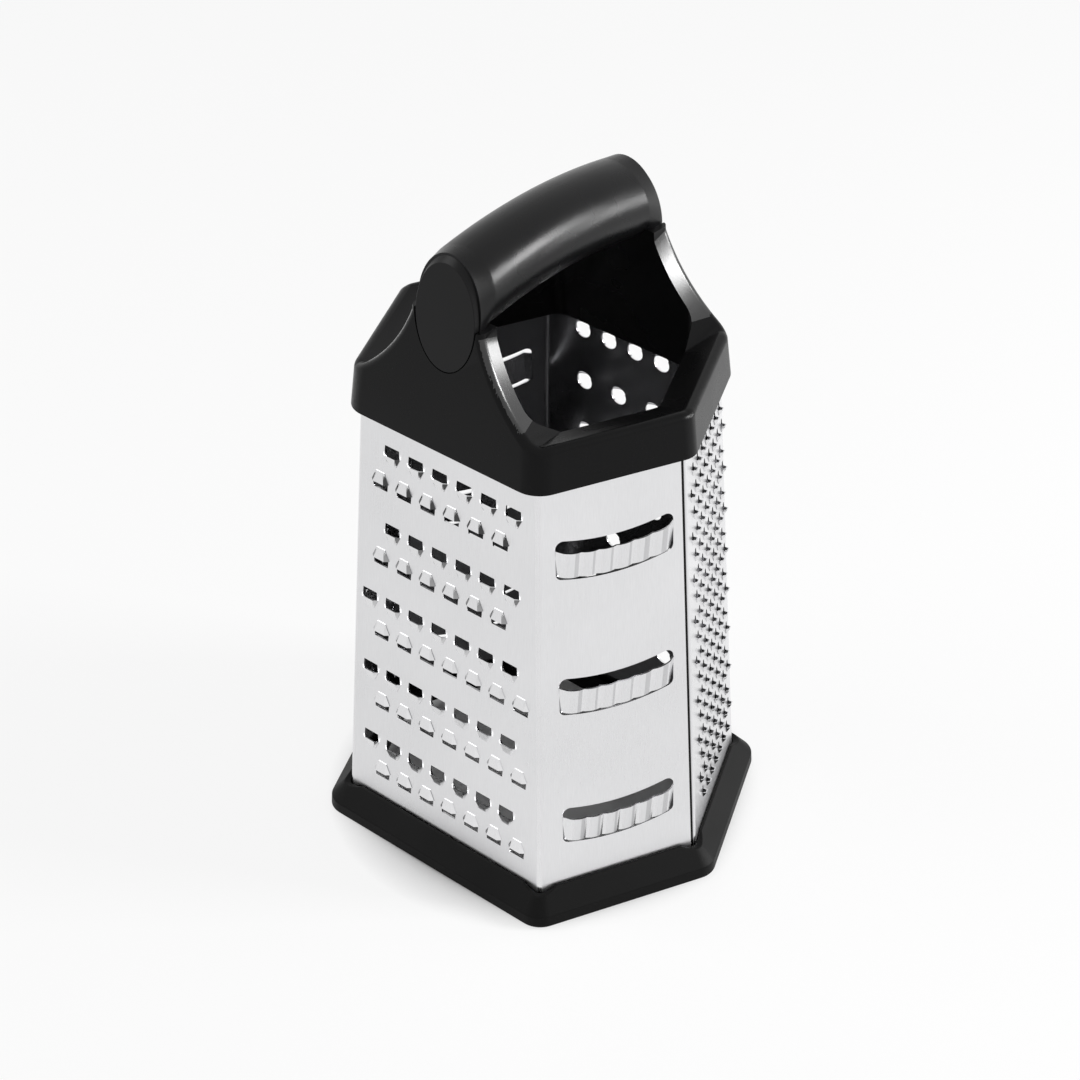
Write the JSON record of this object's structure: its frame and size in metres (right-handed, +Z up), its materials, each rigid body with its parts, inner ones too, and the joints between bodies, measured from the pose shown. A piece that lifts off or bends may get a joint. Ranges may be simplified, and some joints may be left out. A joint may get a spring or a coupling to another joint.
{
  "type": "box grater",
  "caption": "Six-sided tapered steel box grater with coarse, fine, shredding and slicing faces, a moulded handle frame with soft bar grip, and a flared foot ring.",
  "frame": {"origin": "middle of the footprint, on the surface the grater stands on", "axes": "+Z up; the wide coarse face looks along -Y, the handle bar runs along Y, and X is the long way across the foot"},
  "size_m": [0.147, 0.1172, 0.2307],
  "materials": {
    "front_steel": "fine satin",
    "rear_steel": "fine satin",
    "foot_rubber": "matt",
    "frame_plastic": "satin",
    "grip_rubber": "fine grain, soft touch",
    "plug_plastic": "satin"
  },
  "bodies": {
    "root": {"front_shell": "front_steel", "rear_shell": "rear_steel", "foot_ring": "foot_rubber", "handle_frame": "frame_plastic", "soft_grip": "grip_rubber", "front_end_plug": "plug_plastic", "rear_end_plug": "plug_plastic"}
  },
  "joints": []
}
